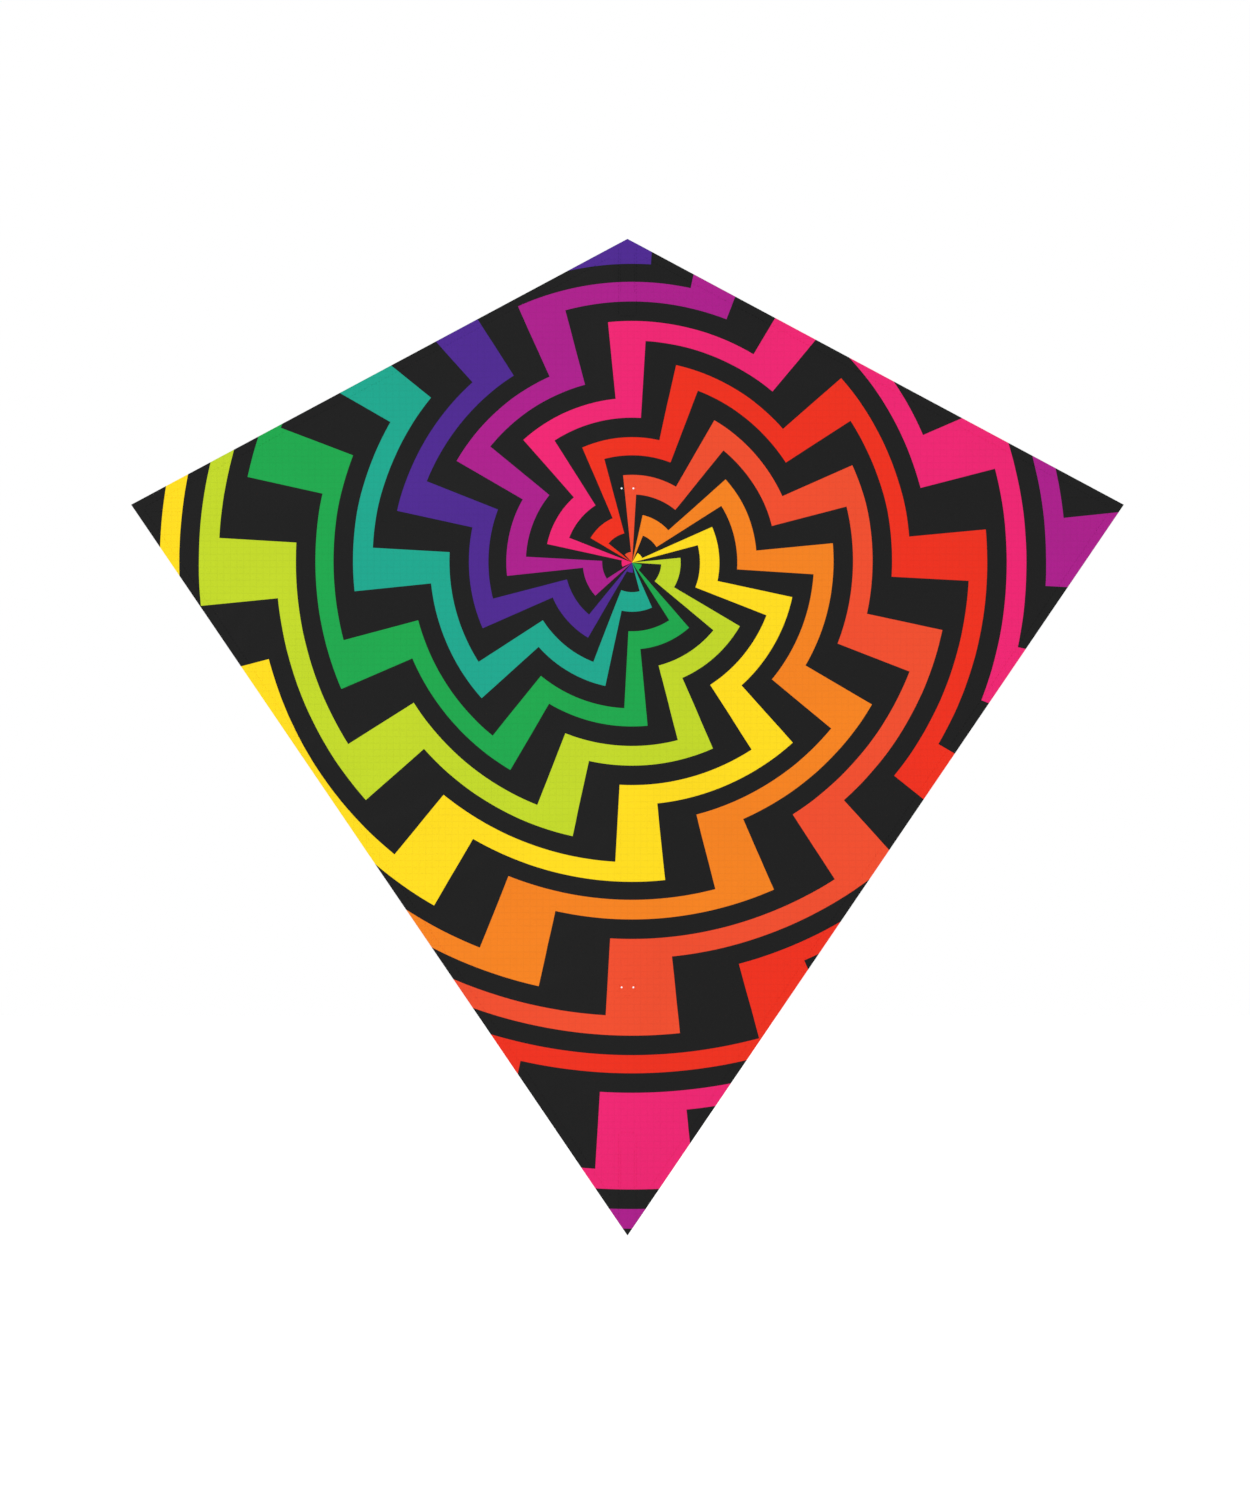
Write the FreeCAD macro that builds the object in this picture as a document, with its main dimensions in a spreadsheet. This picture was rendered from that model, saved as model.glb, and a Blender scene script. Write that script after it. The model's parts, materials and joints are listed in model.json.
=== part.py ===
import FreeCAD, Part
import os
import Sketcher

# Diamond kite, 30 in across and 30 in tall, with a cloth sail on a spine and a two-piece spreader.
# Frame: +Z up towards the nose, front of the sail towards -Y, spars behind it towards +Y.
# The origin is the middle of the upper pair of bridle holes, on the front of the sail.
# Each wing has a frame of its own: origin on its fold line in the middle of the cloth, local x out
# along the cloth to the wing tip, local y off the back of the cloth, z up. The two wings lean
# back from the centre strip by the dihedral.

DIMENSIONS = [
    # outline of the flat cloth
    ("nose_rise", 203.0, "nose above the wing line"),
    ("tail_drop", 560.0, "tail below the wing line"),
    ("wing_drop", 12.0, "wing line below the upper bridle holes"),
    ("strip_half", 8.0, "half width of the centre strip"),
    ("wing_reach", 376.6, "fold line to wing tip along the cloth"),
    ("dihedral", 8.0, "lean of each wing, degrees"),
    ("cloth", 0.4, "sail thickness"),
    ("fold_gap", 0.3, "cloth edge to fold line"),
    # folded edges and sewn patches
    ("hem_width", 8.0, "folded edge, across"),
    ("hem_thick", 0.35, "folded edge, thickness"),
    ("hem_start", 1.5, "fold line to the first of the hem"),
    ("patch_half", 7.4, "half width of the patches"),
    ("patch_thick", 0.45, "patch thickness"),
    ("nose_patch_drop", 60.0, "nose to the nose patch's lower edge"),
    ("tail_patch_rise", 80.0, "tail to the tail patch's upper edge"),
    ("bridle_patch_half", 7.5, "half height of a bridle patch"),
    # bridle holes
    ("hole_pitch", 9.0, "between the two holes of a pair"),
    ("hole_dia", 1.4, "bridle hole"),
    ("lower_bridle_drop", 382.0, "upper to lower bridle holes"),
    # spars
    ("spine_dia", 4.0, "spine rod"),
    ("spine_lift", 4.45, "sail's front to the spine's axis"),
    ("rod_dia", 3.0, "spreader rods"),
    ("rod_lift", 4.8, "middle of the cloth to a spreader rod's axis"),
    ("rod_start", 8.0, "fold line to a spreader rod's inner end"),
    # vinyl pieces
    ("tube_dia", 7.5, "connector, outside"),
    ("tube_bore", 3.2, "connector, inside"),
    ("tube_arm", 34.0, "straight arm of the connector"),
    ("stopper_dia", 7.0, "stopper rings, outside"),
    ("stopper_tall", 5.0, "stopper rings, height"),
    ("spine_cap_dia", 6.0, "spine end caps"),
    ("rod_cap_dia", 5.4, "spreader end caps"),
    ("cap_long", 14.0, "end caps, length"),
    ("cap_end", 2.0, "end caps, solid end"),
    # pockets
    ("tape", 0.5, "thickness of pocket and tab tape"),
    ("pocket_flange", 6.5, "half width of a pocket where it is sewn down"),
    ("pocket_room", 0.2, "pocket sides to the cap"),
    ("pocket_long", 34.0, "pocket, along the spar"),
    ("nose_pocket_drop", 9.0, "nose to the nose pocket's closed end"),
    ("tail_pocket_rise", 34.0, "tail to the tail pocket's closed end"),
    ("tip_pocket_gap", 13.0, "wing tip to a wing pocket's closed end"),
    ("end_room", 0.1, "pocket's closed end to the cap"),
    # ring for the tail ribbon
    ("ring_outer", 7.0, "tail ring, outer radius"),
    ("ring_inner", 4.8, "tail ring, inner radius"),
    ("ring_thick", 2.0, "tail ring, along its axis"),
    ("ring_rise", 18.0, "tail to the ring's centre"),
    ("ring_lift", 3.95, "sail's front to the middle of the ring"),
    ("tab_half", 2.5, "half width of the tail tab"),
    ("tab_tunnel", 2.4, "radius inside the tab's loop"),
]

# Stations along the spine and along a wing, as expressions.
HALF_SPAN = "(Dims.strip_half + Dims.wing_reach)"
NOSE = "(Dims.nose_rise - Dims.wing_drop)"
TAIL = "(-Dims.tail_drop - Dims.wing_drop)"
NOSE_POCKET_END = f"({NOSE} - Dims.nose_pocket_drop)"
TAIL_POCKET_END = f"({TAIL} + Dims.tail_pocket_rise)"
TIP_POCKET_END = "(Dims.wing_reach - Dims.tip_pocket_gap)"
CAP_GAP = "(Dims.tape + Dims.end_room)"
CAP_BORE_LONG = "(Dims.cap_long - Dims.cap_end)"
RING_CENTRE = f"({TAIL} + Dims.ring_rise)"
RING_PIVOT = f"({RING_CENTRE} + (Dims.ring_outer + Dims.ring_inner) / 2)"
PATCH_BACK = "(Dims.cloth + Dims.patch_thick)"
HEM_BACK = "(Dims.cloth / 2 + Dims.hem_thick)"

AXIS_OF_PLANE = {"YZ_Plane": 1, "XZ_Plane": -1, "XY_Plane": 1}
WING_SIDES = {"left": -1, "right": 1}

doc = FreeCAD.newDocument("diamond_kite")
sheet = doc.addObject("Spreadsheet::Sheet", "Dims")
subparts = []


def fill_sheet():
    """Write every driving dimension with its alias and a note."""
    for row, (alias, value, note) in enumerate(DIMENSIONS, start=1):
        sheet.set(f"A{row}", alias)
        sheet.set(f"B{row}", str(value))
        sheet.setAlias(f"B{row}", alias)
        sheet.set(f"C{row}", note)
    doc.recompute()


def number(expression):
    """Value of an expression, for the first place of a sketch point."""
    value = sheet.evalExpression(expression)
    return float(getattr(value, "Value", value))


def negate(expression):
    return f"(-({expression}))"


def upper_edge(across):
    """Height of the sail's leading edge at a distance across the flat cloth."""
    return f"(Dims.nose_rise * (1 - ({across}) / {HALF_SPAN}) - Dims.wing_drop)"


def lower_edge(across):
    """Height of the sail's trailing edge at a distance across the flat cloth."""
    return f"(-Dims.tail_drop * (1 - ({across}) / {HALF_SPAN}) - Dims.wing_drop)"


def keep(item, name):
    """Give a finished sub-part the label that names its file."""
    item.Label = name
    subparts.append(item)
    return item


def new_body(name, side=0):
    """A body in the kite's frame, or in one wing's frame when side is -1 or 1."""
    body = doc.addObject("PartDesign::Body", name)
    if side:
        body.setExpression("Placement.Base.x", f"{side} * Dims.strip_half")
        body.setExpression("Placement.Base.y", "Dims.cloth / 2")
        body.setExpression("Placement.Rotation.Angle", f"{side} * Dims.dihedral")
    return body


def new_sketch(body, plane, start):
    """A sketch on one of the body's origin planes, moved along the plane's axis to start."""
    sketch = body.newObject("Sketcher::SketchObject", body.Name + "_sketch")
    support = [item for item in body.Origin.OriginFeatures if item.Role == plane][0]
    sketch.AttachmentSupport = [(support, "")]
    sketch.MapMode = "FlatFace"
    offset = start if AXIS_OF_PLANE[plane] > 0 else negate(start)
    sketch.setExpression("AttachmentOffset.Base.z", offset)
    return sketch


def bind_point(sketch, edge, end, across, up):
    """Hold one end (or the centre, end 3) of an edge at a place given by two expressions."""
    for kind, expression in (("DistanceX", across), ("DistanceY", up)):
        number_of = sketch.addConstraint(
            Sketcher.Constraint(kind, -1, 1, edge, end, number(expression))
        )
        sketch.setExpression(f"Constraints[{number_of}]", expression)


def draw_outline(sketch, corners):
    """A closed outline of straight edges through corners, each a pair of expressions."""
    places = [FreeCAD.Vector(number(across), number(up), 0) for across, up in corners]
    first = sketch.GeometryCount
    count = len(places)
    for index in range(count):
        sketch.addGeometry(Part.LineSegment(places[index], places[(index + 1) % count]))
    for index, (across, up) in enumerate(corners):
        after = first + (index + 1) % count
        sketch.addConstraint(Sketcher.Constraint("Coincident", first + index, 2, after, 1))
        bind_point(sketch, first + index, 1, across, up)


def draw_circle(sketch, across, up, radius):
    """A circle with its centre and radius given by expressions."""
    centre = FreeCAD.Vector(number(across), number(up), 0)
    edge = sketch.addGeometry(Part.Circle(centre, FreeCAD.Vector(0, 0, 1), number(radius)))
    bind_point(sketch, edge, 3, across, up)
    size = sketch.addConstraint(Sketcher.Constraint("Radius", edge, number(radius)))
    sketch.setExpression(f"Constraints[{size}]", radius)


def pad(body, sketch, length, direction=1):
    """Thicken a sketch along its plane's axis, forwards (1) or backwards (-1)."""
    feature = body.newObject("PartDesign::Pad", body.Name + "_pad")
    feature.Profile = sketch
    feature.Reversed = direction * AXIS_OF_PLANE[sketch.AttachmentSupport[0][0].Role] < 0
    feature.setExpression("Length", length)
    sketch.Visibility = False
    doc.recompute()


def rectangle(left, bottom, right, top):
    return [(left, bottom), (right, bottom), (right, top), (left, top)]


def make_plate(name, corners, start, thickness, side=0, holes=()):
    """A flat piece of cloth: its outline in the X-Z plane, thickened backwards."""
    body = new_body(name, side)
    sketch = new_sketch(body, "XZ_Plane", start)
    draw_outline(sketch, corners)
    for across, up in holes:
        draw_circle(sketch, across, up, "Dims.hole_dia / 2")
    pad(body, sketch, thickness)
    return keep(body, name)


def add_round(body, plane, start, length, centre, radius, bore=None, direction=1):
    """Add a round bar or tube to a body, along the plane's axis."""
    sketch = new_sketch(body, plane, start)
    draw_circle(sketch, *centre, radius)
    if bore:
        draw_circle(sketch, *centre, bore)
    pad(body, sketch, length, direction)


def bridle_holes(height):
    """The two holes of a pair, either side of the spine."""
    return [("Dims.hole_pitch / 2", height), ("-Dims.hole_pitch / 2", height)]


def make_centre():
    """The strip of sail along the spine and the patches behind it."""
    edge = "(Dims.strip_half - Dims.fold_gap)"
    pairs = bridle_holes("0") + bridle_holes("-Dims.lower_bridle_drop")
    outline = [
        ("0", NOSE),
        (edge, upper_edge(edge)),
        (edge, lower_edge(edge)),
        ("0", TAIL),
        (negate(edge), lower_edge(edge)),
        (negate(edge), upper_edge(edge)),
    ]
    make_plate("sail_centre", outline, "0", "Dims.cloth", holes=pairs)
    half = "Dims.patch_half"
    nose_foot = f"({NOSE} - Dims.nose_patch_drop)"
    nose_outline = [
        ("0", NOSE),
        (half, upper_edge(half)),
        (half, nose_foot),
        (negate(half), nose_foot),
        (negate(half), upper_edge(half)),
    ]
    make_plate("nose_patch", nose_outline, "Dims.cloth", "Dims.patch_thick")
    tail_head = f"({TAIL} + Dims.tail_patch_rise)"
    tail_outline = [
        ("0", TAIL),
        (half, lower_edge(half)),
        (half, tail_head),
        (negate(half), tail_head),
        (negate(half), lower_edge(half)),
    ]
    make_plate("tail_patch", tail_outline, "Dims.cloth", "Dims.patch_thick")
    for name, height in (("upper", "0"), ("lower", "-Dims.lower_bridle_drop")):
        low = f"({height} - Dims.bridle_patch_half)"
        high = f"({height} + Dims.bridle_patch_half)"
        outline = rectangle(negate(half), low, half, high)
        holes = bridle_holes(height)
        make_plate(f"{name}_bridle_patch", outline, "Dims.cloth", "Dims.patch_thick", holes=holes)


def make_pocket(name, plane, centre, base, top, cap_radius, closed_end, direction, side=0):
    """A tape pocket sewn to the cloth: a flat foot, and a sleeve over the spar's end cap.

    centre is the spar's height in the sketch (None on the spine, where it is the middle), base and
    top are its distances off the cloth, and the sleeve runs from its closed end in the direction.
    """
    inside = f"({cap_radius} + Dims.pocket_room)"
    outside = f"({inside} + Dims.tape)"
    body = new_body(name, side)
    foot = rectangle("-Dims.pocket_flange", base, "Dims.pocket_flange", f"{base} + Dims.tape")
    sleeve = rectangle(negate(outside), base, outside, f"{top} + Dims.tape")
    hollow = rectangle(negate(inside), f"{base} + Dims.tape", inside, top)
    if plane == "YZ_Plane":
        foot, sleeve, hollow = (
            [(up, f"{centre} + {across}") for across, up in outline]
            for outline in (foot, sleeve, hollow)
        )
    for outline in (foot, sleeve):
        sketch = new_sketch(body, plane, closed_end)
        draw_outline(sketch, outline)
        pad(body, sketch, "Dims.pocket_long", direction)
    step = f"{direction} * Dims.tape"
    sketch = new_sketch(body, plane, f"{closed_end} + {step}")
    draw_outline(sketch, hollow)
    cut = body.newObject("PartDesign::Pocket", name + "_hollow")
    cut.Profile = sketch
    cut.Reversed = direction > 0
    cut.setExpression("Length", "Dims.pocket_long")
    sketch.Visibility = False
    doc.recompute()
    return keep(body, name)


def make_cap(name, plane, outer_end, centre, radius, bore, direction, side=0):
    """A vinyl cap: a solid end at outer_end, then a sleeve that the spar pushes into."""
    body = new_body(name, side)
    add_round(body, plane, outer_end, "Dims.cap_end", centre, radius, direction=direction)
    mouth = f"{outer_end} + {direction} * Dims.cap_end"
    add_round(body, plane, mouth, CAP_BORE_LONG, centre, radius, bore, direction)
    return keep(body, name)


def make_spine():
    """The spine rod with its end caps, pockets and the two stoppers at the connector."""
    centre = ("0", "Dims.spine_lift")
    radius = "Dims.spine_dia / 2"
    low = f"({TAIL_POCKET_END} + {CAP_GAP})"
    high = f"({NOSE_POCKET_END} - {CAP_GAP})"
    rod = new_body("spine_rod")
    rod_low = f"({low} + Dims.cap_end)"
    rod_long = f"{high} - {low} - 2 * Dims.cap_end"
    add_round(rod, "XY_Plane", rod_low, rod_long, centre, radius)
    keep(rod, "spine_rod")
    cap_radius = "Dims.spine_cap_dia / 2"
    make_cap("spine_bottom_cap", "XY_Plane", low, centre, cap_radius, radius, 1)
    make_cap("spine_top_cap", "XY_Plane", high, centre, cap_radius, radius, -1)
    top = f"(Dims.spine_lift + {cap_radius} + Dims.pocket_room / 2)"
    ends = (("nose_pocket", NOSE_POCKET_END, -1), ("tail_pocket", TAIL_POCKET_END, 1))
    for name, closed_end, direction in ends:
        make_pocket(
            name, "XY_Plane", None, PATCH_BACK, top, cap_radius, closed_end, direction
        )
    stoppers = (("upper_stopper", 1), ("lower_stopper", -1))
    for name, direction in stoppers:
        body = new_body(name)
        start = f"(-Dims.wing_drop + {direction} * Dims.tube_dia / 2)"
        add_round(
            body, "XY_Plane", start, "Dims.stopper_tall", centre, "Dims.stopper_dia / 2",
            radius, direction,
        )
        keep(body, name)


def make_bent_bar(name, diameter):
    """A round bar along the connector's line: a shallow bend at the spine and a straight arm
    each side, in line with the spreader rods."""
    bend = doc.addObject("Part::Torus", name + "_bend")
    bend.setExpression("Radius1", "Dims.strip_half / sin(Dims.dihedral) - Dims.rod_lift")
    bend.setExpression("Radius2", f"{diameter} / 2")
    bend.setExpression("Angle3", "2 * Dims.dihedral")
    bend.setExpression("Placement.Rotation.Angle", "270 - Dims.dihedral")
    middle = "Dims.cloth / 2 + Dims.strip_half / tan(Dims.dihedral)"
    bend.setExpression("Placement.Base.y", middle)
    bend.setExpression("Placement.Base.z", "-Dims.wing_drop")
    pieces = [bend]
    for word, side in WING_SIDES.items():
        arm = new_body(f"{name}_{word}_arm", side)
        centre = ("Dims.rod_lift", "-Dims.wing_drop")
        add_round(arm, "YZ_Plane", "0", "Dims.tube_arm", centre, f"{diameter} / 2", None, side)
        pieces.append(arm)
    bar = doc.addObject("Part::MultiFuse", name)
    bar.Shapes = pieces
    return bar


def make_connector():
    """Vinyl tube through which the spine passes, and which joins the two spreader rods."""
    outer = make_bent_bar("tube_outside", "Dims.tube_dia")
    inner = make_bent_bar("tube_inside", "Dims.tube_bore")
    hollow = doc.addObject("Part::Cut", "hollow_tube")
    hollow.Base = outer
    hollow.Tool = inner
    hole = doc.addObject("Part::Cylinder", "spine_hole")
    hole.setExpression("Radius", "Dims.spine_dia / 2")
    hole.setExpression("Height", "2 * Dims.tube_dia")
    hole.setExpression("Placement.Base.y", "Dims.spine_lift")
    hole.setExpression("Placement.Base.z", "-Dims.wing_drop - Dims.tube_dia")
    connector = doc.addObject("Part::Cut", "spreader_connector")
    connector.Base = hollow
    connector.Tool = hole
    keep(connector, "spreader_connector")


def make_tail_ring():
    """The ring that a ribbon tail ties to, and the tape tab that it swings in."""
    ring = new_body("tail_ring")
    start = "(Dims.ring_lift - Dims.ring_thick / 2)"
    centre = ("0", RING_CENTRE)
    add_round(
        ring, "XZ_Plane", start, "Dims.ring_thick", centre, "Dims.ring_outer", "Dims.ring_inner"
    )
    keep(ring, "tail_ring")
    tab = new_body("tail_tab")
    loop = ("Dims.ring_lift", RING_PIVOT)
    width = "2 * Dims.tab_half"
    outer = "(Dims.tab_tunnel + Dims.tape)"
    add_round(tab, "YZ_Plane", "-Dims.tab_half", width, loop, outer, "Dims.tab_tunnel")
    near = f"(Dims.ring_lift - {outer})"
    strip = rectangle(near, RING_PIVOT, f"{near} + Dims.tape", TAIL_POCKET_END)
    sketch = new_sketch(tab, "YZ_Plane", "-Dims.tab_half")
    draw_outline(sketch, strip)
    pad(tab, sketch, width)
    keep(tab, "tail_tab")


def make_wing(word, side):
    """One wing: cloth panel, two folded edges, spreader rod, end cap and tip pocket."""

    def out(distance):
        return f"{side} * ({distance})"

    def across(distance):
        return f"Dims.strip_half + {distance}"

    gap = "Dims.fold_gap"
    panel = [
        (out(gap), upper_edge(across(gap))),
        (out(gap), lower_edge(across(gap))),
        (out("Dims.wing_reach"), "-Dims.wing_drop"),
    ]
    make_plate(f"{word}_sail", panel, "-Dims.cloth / 2", "Dims.cloth", side)

    # Hem widths measured straight down or up from the slanted edges, and the places near the
    # wing tip where the two hems meet.
    upper_deep = f"(Dims.hem_width * sqrt({HALF_SPAN}^2 + Dims.nose_rise^2) / {HALF_SPAN})"
    lower_deep = f"(Dims.hem_width * sqrt({HALF_SPAN}^2 + Dims.tail_drop^2) / {HALF_SPAN})"
    depth = "(Dims.nose_rise + Dims.tail_drop)"
    outer_meet = f"(Dims.wing_reach - {HALF_SPAN} * {upper_deep} / {depth})"
    inner_meet = f"(Dims.wing_reach - {HALF_SPAN} * ({upper_deep} + {lower_deep}) / {depth})"
    start = "Dims.hem_start"
    upper_hem = [
        (out(start), upper_edge(across(start))),
        (out(start), f"{upper_edge(across(start))} - {upper_deep}"),
        (out(outer_meet), lower_edge(across(outer_meet))),
        (out("Dims.wing_reach"), "-Dims.wing_drop"),
    ]
    lower_hem = [
        (out(start), lower_edge(across(start))),
        (out(start), f"{lower_edge(across(start))} + {lower_deep}"),
        (out(inner_meet), f"{lower_edge(across(inner_meet))} + {lower_deep}"),
        (out(outer_meet), lower_edge(across(outer_meet))),
    ]
    make_plate(f"{word}_upper_hem", upper_hem, "Dims.cloth / 2", "Dims.hem_thick", side)
    make_plate(f"{word}_lower_hem", lower_hem, "Dims.cloth / 2", "Dims.hem_thick", side)

    centre = ("Dims.rod_lift", "-Dims.wing_drop")
    cap_end = f"({TIP_POCKET_END} - {CAP_GAP})"
    rod = new_body(f"{word}_spreader", side)
    rod_long = f"{cap_end} - Dims.cap_end - Dims.rod_start"
    add_round(
        rod, "YZ_Plane", out("Dims.rod_start"), rod_long, centre, "Dims.rod_dia / 2",
        direction=side,
    )
    keep(rod, f"{word}_spreader")
    cap_radius = "Dims.rod_cap_dia / 2"
    make_cap(
        f"{word}_spreader_cap", "YZ_Plane", out(cap_end), centre, cap_radius,
        "Dims.rod_dia / 2", -side, side,
    )
    top = f"(Dims.rod_lift + {cap_radius} + Dims.pocket_room / 2)"
    make_pocket(
        f"{word}_wing_pocket", "YZ_Plane", "-Dims.wing_drop", HEM_BACK, top, cap_radius,
        out(TIP_POCKET_END), -side, side,
    )


def check_document():
    """Stop if any object failed to build or any sub-part has no sound solid."""
    doc.recompute()
    for item in doc.Objects:
        if "Invalid" in item.State or "Error" in item.State:
            raise RuntimeError(f"{item.Name} failed to build: {item.State}")
    for item in subparts:
        if item.Shape.isNull() or not item.Shape.isValid():
            raise RuntimeError(f"{item.Label} has no valid shape")
        if len(item.Shape.Solids) != 1:
            raise RuntimeError(f"{item.Label} has {len(item.Shape.Solids)} solids, not one")


def write_parts():
    """Write one STEP file for each sub-part, named after its label."""
    os.makedirs("parts", exist_ok=True)
    for item in subparts:
        item.Shape.exportStep(os.path.join("parts", item.Label + ".step"))
        box = item.Shape.BoundBox
        print(
            f"{item.Label:22s} {item.Shape.Volume:10.1f} mm3"
            f"  x {box.XMin:8.2f} {box.XMax:8.2f}"
            f"  y {box.YMin:7.2f} {box.YMax:7.2f}"
            f"  z {box.ZMin:8.2f} {box.ZMax:8.2f}"
        )


fill_sheet()
make_centre()
make_spine()
make_connector()
make_tail_ring()
for wing_word, wing_side in WING_SIDES.items():
    make_wing(wing_word, wing_side)
check_document()
write_parts()
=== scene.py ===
"""Looks of a 30 in diamond kite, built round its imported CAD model.

The row frame is +Z up the spine, +Y from the sail's front to its back, origin at the upper bridle
holes. The cloth has coordinates of its own: across, the distance from the centreline along the
cloth, up, which is z, and off, the distance off the middle of the cloth towards the back. side is
-1 for the left half and 1 for the right half, as the front is seen.
"""
import json
import math

import bmesh
import bpy
import numpy as np
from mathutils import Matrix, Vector
from mathutils.bvhtree import BVHTree
from mathutils.geometry import delaunay_2d_cdt


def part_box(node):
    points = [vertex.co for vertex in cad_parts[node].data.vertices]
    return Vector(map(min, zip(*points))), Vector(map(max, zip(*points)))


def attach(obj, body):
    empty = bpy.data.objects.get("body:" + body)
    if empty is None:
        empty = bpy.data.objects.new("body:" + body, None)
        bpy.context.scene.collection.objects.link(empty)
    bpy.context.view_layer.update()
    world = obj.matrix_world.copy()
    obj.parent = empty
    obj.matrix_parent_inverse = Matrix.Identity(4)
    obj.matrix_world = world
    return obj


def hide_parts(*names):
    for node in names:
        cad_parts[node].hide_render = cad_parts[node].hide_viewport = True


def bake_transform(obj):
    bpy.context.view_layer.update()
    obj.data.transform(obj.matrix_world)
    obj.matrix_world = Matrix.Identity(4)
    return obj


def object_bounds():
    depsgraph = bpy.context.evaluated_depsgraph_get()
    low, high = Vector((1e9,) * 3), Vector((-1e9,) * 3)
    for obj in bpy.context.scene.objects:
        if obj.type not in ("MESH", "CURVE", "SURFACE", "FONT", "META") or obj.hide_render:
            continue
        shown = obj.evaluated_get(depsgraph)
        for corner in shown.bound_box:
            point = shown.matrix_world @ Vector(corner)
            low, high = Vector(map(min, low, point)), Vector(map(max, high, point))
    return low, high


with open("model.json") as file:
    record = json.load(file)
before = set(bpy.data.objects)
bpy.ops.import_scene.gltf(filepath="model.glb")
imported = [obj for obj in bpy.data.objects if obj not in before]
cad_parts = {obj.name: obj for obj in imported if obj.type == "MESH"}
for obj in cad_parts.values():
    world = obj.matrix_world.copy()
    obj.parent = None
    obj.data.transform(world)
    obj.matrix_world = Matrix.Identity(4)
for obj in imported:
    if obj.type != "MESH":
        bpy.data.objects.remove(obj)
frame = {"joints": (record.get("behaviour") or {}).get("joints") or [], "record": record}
cad_low, cad_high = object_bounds()

MM = 0.001
SIDES = {"left": -1, "right": 1}

# ---- places read from the CAD model
strip_low, strip_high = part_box("sail_centre")
NOSE, TAIL = strip_high.z, strip_low.z
CLOTH = strip_high.y - strip_low.y
MIDDLE_Y = (strip_high.y + strip_low.y) / 2
joints = {joint["name"]: joint for joint in frame["joints"]}
FOLD_X = joints["right_wing_fold"]["pos_m"][0]
tip_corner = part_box("right_sail")[1]
TIP_X, TIP_Y = tip_corner.x, tip_corner.y - CLOTH / 2
DIHEDRAL = math.atan2(TIP_Y - MIDDLE_Y, TIP_X - FOLD_X)
HALF_SPAN = FOLD_X + math.hypot(TIP_X - FOLD_X, TIP_Y - MIDDLE_Y)

rod_low, rod_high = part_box("right_spreader")
ROD_RADIUS = (rod_high.z - rod_low.z) / 2
WING_LINE = (rod_high.z + rod_low.z) / 2


def in_wing(x, y):
    """Distance along the right wing from the fold line, and off the middle of its cloth."""
    dx, dy = x - FOLD_X, y - MIDDLE_Y
    along = dx * math.cos(DIHEDRAL) + dy * math.sin(DIHEDRAL)
    off = dy * math.cos(DIHEDRAL) - dx * math.sin(DIHEDRAL)
    return along, off


ROD_START, ROD_LIFT = in_wing(
    rod_low.x + ROD_RADIUS * math.sin(DIHEDRAL), rod_low.y + ROD_RADIUS * math.cos(DIHEDRAL)
)
ROD_END = in_wing(
    rod_high.x - ROD_RADIUS * math.sin(DIHEDRAL), rod_high.y - ROD_RADIUS * math.cos(DIHEDRAL)
)[0]
spine_low, spine_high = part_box("spine_rod")
SPINE_RADIUS = (spine_high.x - spine_low.x) / 2
SPINE_Y = (spine_high.y + spine_low.y) / 2

# Sizes of the flat goods. FRONT, BACK, HEM_BACK and PATCH_BACK are how far faces are off the
# middle of the cloth.
HEM_WIDTH = 8 * MM
HEM_THICK = 0.35 * MM
HEM_START = FOLD_X + 1.5 * MM
PATCH_THICK = 0.45 * MM
TAPE = 0.5 * MM
FRONT, BACK = -CLOTH / 2, CLOTH / 2
HEM_BACK = BACK + HEM_THICK
PATCH_BACK = BACK + PATCH_THICK
upper_holes, lower_holes = frame["record"]["mounts"][:2]
HOLE_RADIUS = upper_holes["dims"]["hole_r_mm"] * MM
HOLE_ACROSS = upper_holes["dims"]["spacing_x_mm"] * MM / 2
LOWER_HOLES = lower_holes["pos_m"][2]
RING_INNER = 4.8 * MM

# The cloth bends this far each side of a fold line.
BEND_HALF = 3.5 * MM
BEND_START, BEND_END = FOLD_X - BEND_HALF, FOLD_X + BEND_HALF


# ---- cloth coordinates
def place(side, across, up, off):
    """Places in the row frame of points given in cloth coordinates, as an array of x, y, z."""
    across, up, off = (np.array(part, float) for part in np.broadcast_arrays(across, up, off))
    ramp = np.clip(across - BEND_START, 0, 2 * BEND_HALF)
    beyond = np.clip(across - BEND_END, 0, None)
    turn = DIHEDRAL * ramp / (2 * BEND_HALF)
    bent = ramp * ramp / (4 * BEND_HALF)
    x = np.minimum(across, BEND_START) + ramp - (1 - math.cos(DIHEDRAL)) * bent
    x = x + beyond * math.cos(DIHEDRAL) - off * np.sin(turn)
    y = MIDDLE_Y + math.sin(DIHEDRAL) * (bent + beyond) + off * np.cos(turn)
    return np.stack([side * x, y, up], axis=-1)


def edge_height(end, across):
    """Height, at a distance across, of the sail's edge from NOSE or TAIL to the wing tip."""
    return WING_LINE + (end - WING_LINE) * (1 - across / HALF_SPAN)


def inset(points, outline):
    """Smallest distance of each point from the edges of a convex outline, negative outside."""
    corners = np.array(outline, float)
    following = np.roll(corners, -1, axis=0)
    middle = corners.mean(axis=0)
    depth = np.full(len(points), 1e9)
    for start, end in zip(corners, following):
        along = (end - start) / np.linalg.norm(end - start)
        normal = np.array([-along[1], along[0]])
        if (middle - start) @ normal < 0:
            normal = -normal
        depth = np.minimum(depth, (points - start) @ normal)
    return depth


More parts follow.
